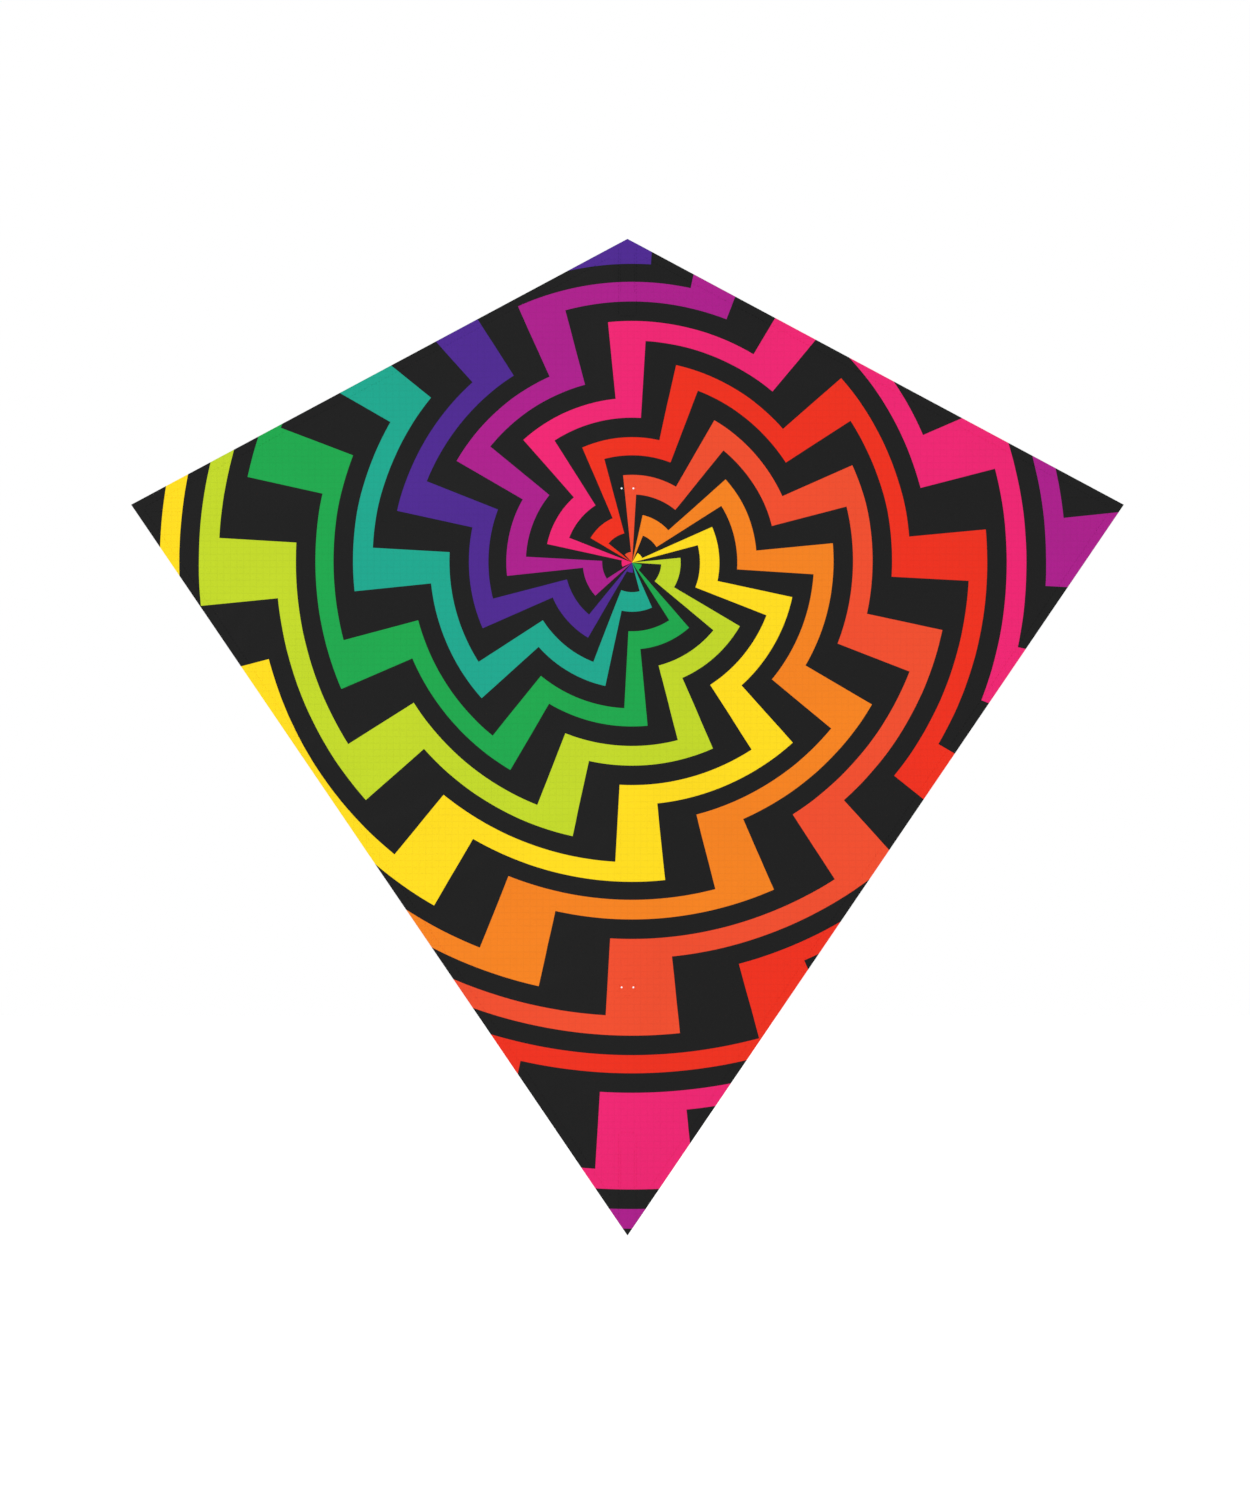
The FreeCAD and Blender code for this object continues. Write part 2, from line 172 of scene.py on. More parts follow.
def along_outline(outline, spacing):
    """Points round an outline, from each corner to the next in equal steps."""
    points = []
    for start, end in zip(outline, outline[1:] + outline[:1]):
        steps = max(1, round(math.dist(start, end) / spacing))
        for step in range(steps):
            points.append([a + (b - a) * step / steps for a, b in zip(start, end)])
    return points


def inner_grid(outline, spacing, holes, columns):
    """Points in staggered rows inside an outline, clear of its edges, holes and columns, and the
    points of the columns themselves."""
    clear = spacing * 0.45
    corners = np.array(outline, float)
    low, high = corners.min(axis=0), corners.max(axis=0)
    rise = spacing * math.sqrt(3) / 2
    grid = np.array([
        [low[0] + spacing / 2 * (row % 2) + column * spacing, low[1] + row * rise]
        for row in range(int((high[1] - low[1]) / rise) + 1)
        for column in range(int((high[0] - low[0]) / spacing) + 1)
    ])
    for across in columns:
        grid = grid[np.abs(grid[:, 0] - across) > clear]
    for across in columns:
        ups = np.arange(low[1] + spacing / 2, high[1], spacing)
        grid = np.vstack([grid, np.stack([np.full(len(ups), across), ups], axis=-1)])
    grid = grid[inset(grid, outline) > clear]
    for across, up, radius in holes:
        away = np.hypot(grid[:, 0] - across, grid[:, 1] - up)
        grid = grid[away > radius + spacing * 0.35]
    return grid.tolist()


HOLE_POINTS = 16
KEEP_INSIDE = 1
MERGE = 1e-7


def cut_cloth(outline, spacing, holes=(), columns=()):
    """Points and triangles that fill a convex outline in cloth coordinates.

    Each hole is across, up and radius. columns are distances across at which the points stand in
    lines, so that the cloth can bend there.
    """
    points = along_outline(outline, spacing)
    edges = [(index, (index + 1) % len(points)) for index in range(len(points))]
    for across, up, radius in holes:
        first = len(points)
        for index in range(HOLE_POINTS):
            angle = 2 * math.pi * index / HOLE_POINTS
            points.append([across + radius * math.cos(angle), up + radius * math.sin(angle)])
            edges.append((first + index, first + (index + 1) % HOLE_POINTS))
    points += inner_grid(outline, spacing, holes, columns)
    points = [Vector(point) for point in points]
    verts, _, faces, *_ = delaunay_2d_cdt(points, edges, [], KEEP_INSIDE, MERGE)
    verts = np.array([list(v) for v in verts])
    kept = []
    for face in faces:
        centre = verts[list(face)].mean(axis=0)
        if all(math.dist(centre, hole[:2]) > hole[2] for hole in holes):
            a, b, c = verts[list(face)]
            turn = (b[0] - a[0]) * (c[1] - a[1]) - (b[1] - a[1]) * (c[0] - a[0])
            kept.append(tuple(face) if turn > 0 else tuple(reversed(face)))
    return verts, kept


# ---- meshes
def add_object(name, data):
    """A new object in the scene."""
    added = bpy.data.objects.new(name, data)
    bpy.context.scene.collection.objects.link(added)
    return added


def face_outwards(mesh):
    """Turn every face of a mesh to look out of it."""
    form = bmesh.new()
    form.from_mesh(mesh)
    bmesh.ops.recalc_face_normals(form, faces=form.faces)
    form.to_mesh(mesh)
    form.free()


def make_object(name, verts, faces, uvs, materials, material_of_face=None, sharp=40):
    """A mesh object with one UV map, whose coordinates are given for each vertex, in metres."""
    mesh = bpy.data.meshes.new(name)
    mesh.from_pydata([tuple(v) for v in verts], [], faces)
    layer = mesh.uv_layers.new(name="Cloth")
    corners = np.zeros(len(mesh.loops), int)
    mesh.loops.foreach_get("vertex_index", corners)
    layer.data.foreach_set("uv", np.asarray(uvs, np.float32)[corners].ravel())
    for material in materials:
        mesh.materials.append(material)
    if material_of_face is not None:
        mesh.polygons.foreach_set("material_index", material_of_face)
    mesh.polygons.foreach_set("use_smooth", [True] * len(mesh.polygons))
    face_outwards(mesh)
    mesh.set_sharp_from_angle(angle=math.radians(sharp))
    mesh.update()
    return add_object(name, mesh)


def cloth_piece(name, side, cut, front, back, lift, materials, print_at=None):
    """A thin closed piece of cloth from points and triangles in cloth coordinates.

    front and back are how far its two faces are off the middle of the cloth, lift is how far the
    sail stands off there, and print_at gives the place on the print that each point shows.
    """
    points, triangles = cut
    across, up = points[:, 0], points[:, 1]
    verts = np.vstack([place(side, across, up, lift + off) for off in (front, back)])
    facing = triangles if side > 0 else [t[::-1] for t in triangles]
    behind, walls = back_and_walls(facing, len(points))
    shown = points if print_at is None else print_at(points)
    uvs = np.stack([shown_x(side, shown[:, 0]), shown[:, 1]], axis=-1)
    index = [0] * len(facing) + [len(materials) - 1] * len(behind) + [0] * len(walls)
    return make_object(
        name, verts, facing + behind + walls, np.vstack([uvs, uvs]), materials, index
    )


def back_and_walls(facing, count):
    """Faces that close a layer of triangles: the same layer again count points on, looking the
    other way, and the walls between the two layers' edges."""
    behind = [tuple(count + corner for corner in t[::-1]) for t in facing]
    used = dict.fromkeys((a, b) for t in facing for a, b in zip(t, t[1:] + t[:1]))
    walls = [(b, a, a + count, b + count) for a, b in used if (b, a) not in used]
    return behind, walls


def shown_x(side, across):
    """The x on the print that cloth shows there: the print is laid out as the front is seen."""
    return side * across * TIP_X / HALF_SPAN


def tube_faces(rows, count, first=0, loop=False):
    """Faces through rows of points round a tube, from the point first on. With loop the last row
    joins the first, and otherwise both are filled."""
    faces = []
    for row in range(rows if loop else rows - 1):
        here, after = first + row * count, first + (row + 1) % rows * count
        for point in range(count):
            beside = (point + 1) % count
            faces.append((here + point, here + beside, after + beside, after + point))
    if not loop:
        faces.append(tuple(first + point for point in reversed(range(count))))
        faces.append(tuple(first + (rows - 1) * count + point for point in range(count)))
    return faces


def loft(name, sections, materials, loop=False, sharp=40):
    """A surface through closed sections, each an array of points with the same count. With loop
    the last joins the first, and otherwise both are filled."""
    sections = np.array(sections, float)
    rows, count = sections.shape[:2]
    faces = tube_faces(rows, count, loop=loop)
    steps = np.linalg.norm(np.diff(sections.mean(axis=1), axis=0), axis=1)
    along = np.concatenate([[0], np.cumsum(steps)])
    sides = np.linalg.norm(np.diff(sections[rows // 2], axis=0), axis=1)
    around = np.concatenate([[0], np.cumsum(sides)])
    uvs = np.stack(np.meshgrid(around, along), axis=-1).reshape(-1, 2)
    return make_object(name, sections.reshape(-1, 3), faces, uvs, materials, sharp=sharp)


def circle(centre, first, second, radius, count=32):
    """Points round a circle in the plane of two directions."""
    angles = np.linspace(0, 2 * math.pi, count, endpoint=False)
    first, second = np.array(first, float), np.array(second, float)
    turned = np.outer(np.cos(angles), first) + np.outer(np.sin(angles), second)
    return np.array(centre, float) + radius * turned


def directions(line):
    """The way that a line of points runs at each of them, as vectors of length 1."""
    forward = np.gradient(line, axis=0)
    return forward / np.linalg.norm(forward, axis=1)[:, None]


def rounded(angle, power):
    """Cosine and sine of an angle, squared off for a section with softly rounded corners."""
    parts = (math.cos(angle), math.sin(angle))
    return [math.copysign(abs(part) ** power, part) for part in parts]


def finish_piece(piece, body, node):
    """Let a piece ride on a body, and hide the CAD node that it stands for."""
    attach(piece, body)
    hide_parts(node)


# ---- materials
# The print's colours, in the order in which they follow each other round the spiral.
INKS = {
    "orange": (245, 132, 38),
    "red_orange": (240, 81, 51),
    "red": (238, 53, 35),
    "pink": (238, 42, 116),
    "magenta": (172, 32, 141),
    "violet": (81, 46, 146),
    "teal": (0, 168, 143),
    "green": (0, 168, 80),
    "lime": (194, 216, 46),
    "yellow": (255, 221, 0),
}
BLACK_INK = (35, 31, 32)
BACK_HAZE = (0.42, 0.4, 0.38, 1)
# What is seen of an ink is its own colour times 1 / INK_STRENGTH, and the gloss on top.
CLOTH_GLOSS = 0.014
INK_STRENGTH = 0.9
LEAST_INK = 0.002

# The print: a staircase spiral round one point, ten colours with black between them. A step is one
# sector wide and one ring high.
PRINT_CENTRE = (3.5 * MM, WING_LINE - 44.8 * MM)
SECTOR = 36.0
FIRST_ANGLE = 32.4
RING = 59.0 * MM
FIRST_RING = 22.2 * MM
RIPSTOP_PITCH, RIPSTOP_WIDTH = 5 * MM, 0.45 * MM
PRINTED_THREAD = 0.45 * MM


def linear(colour):
    """Scene-linear value of an sRGB colour of 0 to 255, with alpha."""
    values = []
    for part in colour:
        part = part / 255
        values.append(part / 12.92 if part <= 0.04045 else ((part + 0.055) / 1.055) ** 2.4)
    return (*values, 1.0)


def ink(colour):
    """An ink's own colour, without the light that the cloth's gloss adds to what is seen."""
    parts = linear(colour)[:3]
    return (*(max(part * INK_STRENGTH - CLOTH_GLOSS, LEAST_INK) for part in parts), 1.0)


class Nodes:
    """Short names for building one material's node tree."""

    # Places of a colour mix's colours among its inputs and outputs.
    FIRST_COLOUR, SECOND_COLOUR, MIXED_COLOUR = 6, 7, 2

    def __init__(self, name, roughness, **sockets):
        self.material = bpy.data.materials.new(name)
        self.material.use_nodes = True
        self.tree = self.material.node_tree
        self.shader = self.tree.nodes["Principled BSDF"]
        self.shader.inputs["Roughness"].default_value = roughness
        for socket, value in sockets.items():
            self.shader.inputs[socket.replace("_", " ")].default_value = value

    def feed(self, node, inputs):
        """Give a node's inputs their values, or links from other nodes' outputs."""
        for key, value in inputs.items():
            if isinstance(value, bpy.types.NodeSocket):
                self.tree.links.new(value, node.inputs[key])
            else:
                node.inputs[key].default_value = value

    def add(self, kind, inputs=None, **settings):
        node = self.tree.nodes.new(kind)
        for key, value in settings.items():
            setattr(node, key, value)
        self.feed(node, inputs or {})
        return node

    def math(self, operation, *values):
        inputs = dict(enumerate(values))
        return self.add("ShaderNodeMath", inputs, operation=operation).outputs[0]

    def noise(self, vector, scale, detail):
        """Noise of 0 to 1."""
        inputs = {"Vector": vector, "Scale": scale, "Detail": detail}
        return self.add("ShaderNodeTexNoise", inputs).outputs["Fac"]

    def parts(self, vector):
        """A vector's x and y."""
        node = self.add("ShaderNodeSeparateXYZ", {0: vector})
        return node.outputs[0], node.outputs[1]

    def wave(self, value, pitch):
        """A sine whose humps and hollows are each pitch wide."""
        return self.math("SINE", self.math("MULTIPLY", value, math.pi / pitch))

    def cloth(self):
        """The piece's cloth coordinates, in metres."""
        return self.add("ShaderNodeUVMap", uv_map="Cloth").outputs["UV"]

    def place(self):
        """The place on the piece, in metres."""
        return self.add("ShaderNodeTexCoord").outputs["Object"]

    def stretched(self, vector, scale):
        inputs = {"Vector": vector, "Scale": scale}
        return self.add("ShaderNodeMapping", inputs).outputs["Vector"]

    def mix(self, factor, first, second, blend="MIX"):
        inputs = {"Factor": factor, self.FIRST_COLOUR: first, self.SECOND_COLOUR: second}
        node = self.add("ShaderNodeMix", inputs, data_type="RGBA", blend_type=blend)
        return node.outputs[self.MIXED_COLOUR]

    def bump(self, height, distance, strength=1.0, **normal):
        inputs = {"Height": height, "Distance": distance, "Strength": strength, **normal}
        return self.add("ShaderNodeBump", inputs).outputs["Normal"]

    def finish(self, colour, **sockets):
        self.feed(self.shader, {"Base Color": colour, **sockets})
        return self.material


def weave_height(nodes, vector, thread):
    """Height of a plain weave whose threads are that far apart."""
    return nodes.math("MULTIPLY", *(nodes.wave(part, thread) for part in nodes.parts(vector)))


def grid_lines(nodes, vector, pitch, width):
    """1 on the thicker threads of a ripstop grid, 0 between them."""
    lines = []
    for part in nodes.parts(vector):
        from_thread = nodes.math("PINGPONG", part, pitch / 2)
        lines.append(nodes.math("LESS_THAN", from_thread, width / 2))
    return nodes.math("MAXIMUM", *lines)


def print_colour(nodes, cloth):
    """The print's colour at a place on the cloth."""
    across, up = nodes.parts(cloth)
    x = nodes.math("SUBTRACT", across, PRINT_CENTRE[0])
    z = nodes.math("SUBTRACT", up, PRINT_CENTRE[1])
    angle = nodes.math("DEGREES", nodes.math("ARCTAN2", z, x))
    squares = nodes.math("ADD", nodes.math("MULTIPLY", x, x), nodes.math("MULTIPLY", z, z))
    radius = nodes.math("SQRT", squares)
    sector = nodes.math("DIVIDE", nodes.math("SUBTRACT", angle, FIRST_ANGLE), SECTOR)
    ring = nodes.math("DIVIDE", nodes.math("SUBTRACT", radius, FIRST_RING), RING)
    slant = nodes.math("MULTIPLY", nodes.math("SUBTRACT", sector, ring), 0.5)
    stair = nodes.math("PINGPONG", slant, 0.5)
    climb = nodes.math("ADD", sector, ring)
    step = nodes.math("SUBTRACT", climb, nodes.math("MULTIPLY", stair, 2.0))
    turn = nodes.math("FRACT", nodes.math("DIVIDE", step, float(len(INKS))))
    ramp = nodes.add("ShaderNodeValToRGB", {0: turn})
    ramp.color_ramp.interpolation = "CONSTANT"
    stops = ramp.color_ramp.elements
    half = 0.5 / len(INKS)
    for index, bright in enumerate(INKS.values()):
        for start, colour in ((2 * index * half, bright), ((2 * index + 1) * half, BLACK_INK)):
            stop = stops[0] if start == 0 else stops.new(start)
            stop.color = ink(colour)
    stops.remove(stops[-1])
    return ramp.outputs[0]


def printed_cloth(name, fade):
    """Printed kite polyester. fade is how much paler the print is on the back of the cloth."""
    nodes = Nodes(name, 0.55, Specular_IOR_Level=0.18)
    cloth = nodes.cloth()
    colour = print_colour(nodes, cloth)
    if fade:
        colour = nodes.mix(fade, colour, BACK_HAZE)
    patchy = nodes.noise(cloth, 14.0, 3.0)
    shade = nodes.math("MULTIPLY_ADD", patchy, 0.10, 0.95)
    lines = grid_lines(nodes, cloth, RIPSTOP_PITCH, RIPSTOP_WIDTH)
    shade = nodes.math("SUBTRACT", shade, nodes.math("MULTIPLY", lines, 0.035))
    grey = nodes.add("ShaderNodeCombineColor", {0: shade, 1: shade, 2: shade})
    colour = nodes.mix(1.0, colour, grey.outputs[0], "MULTIPLY")
    normal = nodes.bump(weave_height(nodes, cloth, PRINTED_THREAD), 0.04 * MM, 0.5)
    normal = nodes.bump(lines, 0.07 * MM, 0.6, Normal=normal)
    rough = nodes.math("MULTIPLY_ADD", patchy, 0.12, 0.42)
    return nodes.finish(colour, Roughness=rough, Normal=normal)


def patch_cloth():
    """Black coated cloth of the sewn patches."""
    nodes = Nodes("patch_cloth", 0.55, Specular_IOR_Level=0.4)
    cloth = nodes.cloth()
    tone = nodes.mix(nodes.noise(cloth, 900.0, 4.0), linear((26, 26, 28)), linear((46, 46, 50)))
    normal = nodes.bump(weave_height(nodes, cloth, 0.4 * MM), 0.05 * MM, 0.6)
    return nodes.finish(tone, Normal=normal)


def woven_tape():
    """Black grosgrain tape: fine ribs across it, each made of threads side by side. Its colour has
    painted light on the ribs' tops and painted shade in the hollows between them.
    """
    nodes = Nodes("woven_tape", 0.75, Specular_IOR_Level=0.25, Sheen_Weight=0.2)
    cloth = nodes.cloth()
    across, along = nodes.parts(cloth)
    rib = nodes.math("ABSOLUTE", nodes.wave(along, 0.75 * MM))
    threads = nodes.wave(across, 0.2 * MM)
    height = nodes.math("ADD", rib, nodes.math("MULTIPLY", threads, 0.15))
    # Painted light and shade: the colour is lighter where the ribs stand high and darker in the
    # hollows, more strongly in some patches than in others.
    patchy_rib_light = nodes.math("ADD", nodes.noise(cloth, 220.0, 4.0), 0.2)
    shade = nodes.math("MULTIPLY", height, patchy_rib_light)
    tone = nodes.mix(shade, linear((18, 18, 20)), linear((52, 52, 56)))
    return nodes.finish(tone, Normal=nodes.bump(height, 0.12 * MM, 0.8))


def glass_fibre():
    """Off-white pultruded rod: fine streaks of glass along it under a satin resin skin."""
    nodes = Nodes("glass_fibre", 0.3, Specular_IOR_Level=0.5, Coat_Weight=0.25,
                  Subsurface_Weight=0.1)
    streaks = nodes.noise(nodes.stretched(nodes.cloth(), (2600, 14, 1)), 1.0, 5.0)
    fine = nodes.noise(nodes.stretched(nodes.cloth(), (900, 60, 1)), 1.0, 3.0)
    tone = nodes.mix(streaks, linear((196, 194, 178)), linear((238, 237, 228)))
    tone = nodes.mix(nodes.math("MULTIPLY", fine, 0.25), tone, linear((214, 206, 172)))
    rough = nodes.math("MULTIPLY_ADD", streaks, 0.2, 0.22)
    return nodes.finish(tone, Roughness=rough, Normal=nodes.bump(streaks, 0.05 * MM, 0.6))


def soft_plastic(name, dark, light, roughness, grain):
    """A black moulded or extruded material with faint mottling and scuffs."""
    nodes = Nodes(name, roughness, Specular_IOR_Level=0.5)
    place_of = nodes.place()
    mottle = nodes.noise(place_of, 160.0, 5.0)
    scuffs = nodes.noise(nodes.stretched(place_of, (90, 900, 900)), 1.0, 2.0)
    tone = nodes.mix(mottle, linear(dark), linear(light))
    rough = nodes.math("MULTIPLY_ADD", scuffs, 0.25, roughness - 0.1)
    normal = nodes.bump(nodes.noise(place_of, 1500.0, 2.0), grain, 0.5)
    return nodes.finish(tone, Roughness=rough, Normal=normal)


def thread_material():
    """Black polyester thread with the twist of its plies."""
    nodes = Nodes("thread", 0.6, Sheen_Weight=0.4)
    plies = nodes.noise(nodes.place(), 2500.0, 1.0)
    tone = nodes.mix(plies, linear((24, 23, 26)), linear((58, 56, 60)))
    return nodes.finish(tone, Normal=nodes.bump(plies, 0.05 * MM, 0.8))


PRINT_FRONT = printed_cloth("print_front", 0.0)
PRINT_BACK = printed_cloth("print_back", 0.08)
PATCH = patch_cloth()
WEBBING = woven_tape()
GLASS = glass_fibre()
VINYL = soft_plastic("vinyl", (20, 20, 22), (38, 38, 41), 0.36, 0.03 * MM)
RUBBER = soft_plastic("rubber", (24, 24, 24), (44, 44, 43), 0.62, 0.08 * MM)
NYLON = soft_plastic("nylon", (22, 22, 23), (40, 40, 42), 0.45, 0.05 * MM)
THREAD = thread_material()


# ---- the sail's billow
SAIL_SPACING = 5 * MM
BILLOW = {-1: 8.0 * MM, 1: 8.6 * MM}
# Room for the cloth under the rod, and under the connector, which ends at TUBE_ACROSS. It grows
# with the distance above or below them.
ROD_ROOM = 2.2 * MM
TUBE_ROOM = 0.35 * MM
TUBE_ACROSS = FOLD_X + 36 * MM
ROOM_GROWS = 0.12
SIMULATION_FRAMES = 24
CLOTH_SETTINGS = {
    "quality": 6, "mass": 0.15, "tension_stiffness": 20, "compression_stiffness": 20,
    "shear_stiffness": 8, "bending_stiffness": 0.2, "air_damping": 2, "vertex_group_mass": "held",
    "shrink_min": -0.002, "use_pressure": True, "uniform_pressure_force": 0.6,
}
HALF_OUTLINE = [(0.0, NOSE), (0.0, TAIL), (HALF_SPAN, WING_LINE)]
HALF_HOLES = [(HOLE_ACROSS, 0.0, HOLE_RADIUS), (HOLE_ACROSS, LOWER_HOLES, HOLE_RADIUS)]
BEND_COLUMNS = np.linspace(BEND_START, BEND_END, 8)
# The cloth is flat round a wing pocket: this far each side of the wing line and in from the tip.
FLAT_HALF = 9 * MM
FLAT_REACH = 56 * MM
FLAT_RAMP = 25 * MM
# Folds at the corners: a corner's place, and its folds' number, height, reach and phase.
CORNER_FOLDS = (
    (0.0, NOSE, 15.0, 0.40 * MM, 110 * MM, 0.4),
    (0.0, TAIL, 26.0, 0.45 * MM, 150 * MM, 1.7),
    (HALF_SPAN, WING_LINE, 20.0, 0.55 * MM, 130 * MM, 0.9),
)
# Creases: share of the half span at which each lies, and its height.
CREASES = ((0.27, 0.35 * MM), (0.51, -0.3 * MM), (0.76, 0.25 * MM))


def past_pocket(points):
    """How far each point is from the flat rectangle round the wing pocket, 0 in it."""
    inside = np.clip(HALF_SPAN - FLAT_REACH - points[:, 0], 0, None)
    beside = np.clip(np.abs(points[:, 1] - WING_LINE) - FLAT_HALF, 0, None)
    return np.hypot(inside, beside)


def held_points(points):
    """True where the cloth is held flat: its edges, the spine's strip and the wing pocket."""
    edges = inset(points, HALF_OUTLINE) < 1 * MM
    strip = points[:, 0] < BEND_END + 1 * MM
    return edges | strip | (past_pocket(points) == 0)


def portion(distance, long):
    """0 up to 1 as a distance goes from 0 to long."""
    return np.clip(distance / long, 0, 1)


def smooth(share):
    """A share of 0 to 1, eased in and out."""
    return share * share * (3 - 2 * share)


def simulate_billow(side, points, triangles):
    """Heights of half a sail that wind presses from the front, by a cloth simulation."""
    mesh = bpy.data.meshes.new("billow")
    mesh.from_pydata([(side * across, 0.0, up) for across, up in points], [], triangles)
    piece = add_object("billow", mesh)
    group = piece.vertex_groups.new(name="held")
    group.add(np.nonzero(held_points(points))[0].tolist(), 1.0, "REPLACE")
    modifier = piece.modifiers.new("cloth", "CLOTH")
    for name, value in CLOTH_SETTINGS.items():
        setattr(modifier.settings, name, value)
    modifier.settings.effector_weights.gravity = 0
    modifier.point_cache.frame_end = SIMULATION_FRAMES
    scene = bpy.context.scene
    for number in range(1, SIMULATION_FRAMES + 1):
        scene.frame_set(number)
    shaped = piece.evaluated_get(bpy.context.evaluated_depsgraph_get())
    heights = np.array([vertex.co.y for vertex in shaped.to_mesh().vertices])
    shaped.to_mesh_clear()
    scene.frame_set(1)
    bpy.data.objects.remove(piece)
    bpy.data.meshes.remove(mesh)
    return heights * np.sign(heights.sum())


def tension_folds(side, points):
    """Shallow folds that run out from the corners where the cloth is pulled, and faint creases
    from rolling the sail round its spine."""
    folds = np.zeros(len(points))
    for across, up, count, size, reach, phase in CORNER_FOLDS:
        dx, dz = points[:, 0] - across, points[:, 1] - up
        away = np.hypot(dx, dz)
        angle = np.arctan2(dz, dx)
        fading = np.exp(-away / reach) * (1 - np.exp(-away / (30 * MM)))
        folds += size * fading * np.sin(count * angle + phase + side)
    for share, size in CREASES:
        crease = np.abs(points[:, 0] - share * HALF_SPAN - side * 3 * MM)
        folds += size * np.exp(-crease / (7 * MM))
    return folds


def shape_cloth(side, points, triangles):
    """How far the sail stands off its flat plane, at each point."""
    heights = simulate_billow(side, points, triangles)
    heights = heights / np.abs(heights).max() * BILLOW[side]
    across, from_edge = points[:, 0], inset(points, HALF_OUTLINE)
    free = portion(from_edge - HEM_WIDTH, 20 * MM) * portion(across - BEND_END, 20 * MM)
    heights = heights + tension_folds(side, points) * free
    room = TUBE_ROOM + (ROD_ROOM - TUBE_ROOM) * portion(across - TUBE_ACROSS, 25 * MM)
    room = room + ROOM_GROWS * np.clip(np.abs(points[:, 1] - WING_LINE) - 5 * MM, 0, None)
    heights = room * np.tanh(heights / room)
    heights *= smooth(portion(past_pocket(points), FLAT_RAMP))
    heights *= smooth(portion(across - BEND_END, 12 * MM))
    return heights * portion(from_edge, 2 * MM)


class Sail:
    """One half of the sail: its cut, its heights, and the height at any other point."""

    def __init__(self, side):
        self.cut = cut_cloth(HALF_OUTLINE, SAIL_SPACING, HALF_HOLES, BEND_COLUMNS)
        self.heights = shape_cloth(side, *self.cut)
        points, triangles = self.cut
        standing = [(p[0], h, p[1]) for p, h in zip(points, self.heights)]
        self.tree = BVHTree.FromPolygons(standing, triangles)

    def lift(self, points):
        """Heights of the cloth at an array of points; 0 at its very edge."""
        near = 0.02 * MM
        backwards = Vector((0, 1, 0))
        found = []
        for across, up in points:
            height = 0.0
            for dx, dz in ((0, 0), (near, 0), (-near, 0), (0, near), (0, -near)):
                hit = self.tree.ray_cast(Vector((across + dx, -1, up + dz)), backwards)[0]
                if hit is not None:
                    height = hit.y
                    break
            found.append(height)
        return np.array(found)


def bend_with_wing(piece):
    """Bake a piece's transform into its mesh."""
    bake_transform(piece)


def make_sail(word, sail):
    """Half of the printed sail, with the CAD panel that it stands for."""
    side = SIDES[word]
    piece = cloth_piece(
        f"{word}_sail_cloth", side, sail.cut, FRONT, BACK, sail.heights,
        [PRINT_FRONT, PRINT_BACK],
    )
    bend_with_wing(piece)
    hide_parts(f"{word}_sail", "sail_centre")


# ---- hems
HEM_SPACING = 3 * MM
HEM_GAP = 0.02 * MM


def inwards(end):
    """Hem width measured straight up or down, into the sail from its edge at NOSE or TAIL."""
    rise = WING_LINE - end
    return math.copysign(HEM_WIDTH * math.hypot(HALF_SPAN, rise) / HALF_SPAN, rise)


def mirrored_in(start, end):
    """A function that mirrors cloth points in the line through start and end."""
    start, end = np.array(start, float), np.array(end, float)
    along = (end - start) / np.linalg.norm(end - start)

    def reflect(points):
        relative = points - start
        return start + 2 * np.outer(relative @ along, along) - relative

    return reflect


def across_where(height):
    """Distance across at which the sail is that tall."""
    return HALF_SPAN - HALF_SPAN * height / (NOSE - TAIL)


def make_hems(word, sail):
    """The two folded edges of a wing. The folded cloth shows the print's front, mirrored. The
    upper hem goes on to the wing tip, and the lower one stops where it meets the upper one."""
    side, tip = SIDES[word], (HALF_SPAN, WING_LINE)
    outer, inner = across_where(-inwards(NOSE)), across_where(inwards(TAIL) - inwards(NOSE))
    meet = (outer, edge_height(TAIL, outer))
    corner = (inner, edge_height(TAIL, inner) + inwards(TAIL))
    for edge, end, far in (("upper", NOSE, [meet, tip]), ("lower", TAIL, [corner, meet])):
        start = edge_height(end, HEM_START)
        outline = [(HEM_START, start), (HEM_START, start + inwards(end)), *far]
        cut = cut_cloth(outline, HEM_SPACING)
        piece = cloth_piece(
            f"{word}_{edge}_hem_fold", side, cut, BACK + HEM_GAP, HEM_BACK, sail.lift(cut[0]),
            [PRINT_FRONT], mirrored_in((0.0, end), tip),
        )
        bend_with_wing(piece)
        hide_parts(f"{word}_{edge}_hem")


# ---- stitches
THREAD_RADIUS = 0.14 * MM
STITCH_LONG = 2.2 * MM
STITCH_PITCH = 3.0 * MM
# A stitch's rings: share of its length, and thickness and height in thread radii.
STITCH_RINGS = ((0, 0.5, -0.6), (0.18, 1, 0.35), (0.82, 1, 0.35), (1, 0.5, -0.6))
STITCH_SIDES = 6
# How far seams are from the sail's edge along a hem, and otherwise from the spar's axis.
HEM_SEAM = 6.4 * MM
WING_POCKET_SEAM = 5.2 * MM
SPINE_POCKET_SEAM = 5.3 * MM
PATCH_SEAM = 6.85 * MM
BRIDLE_SEAM = 6.2 * MM
# How far seams keep from the bend, and the start and end of a wing pocket's, from the wing tip.
SEAM_GAP = 0.5 * MM
WING_POCKET_ROW = (14 * MM, 46 * MM)


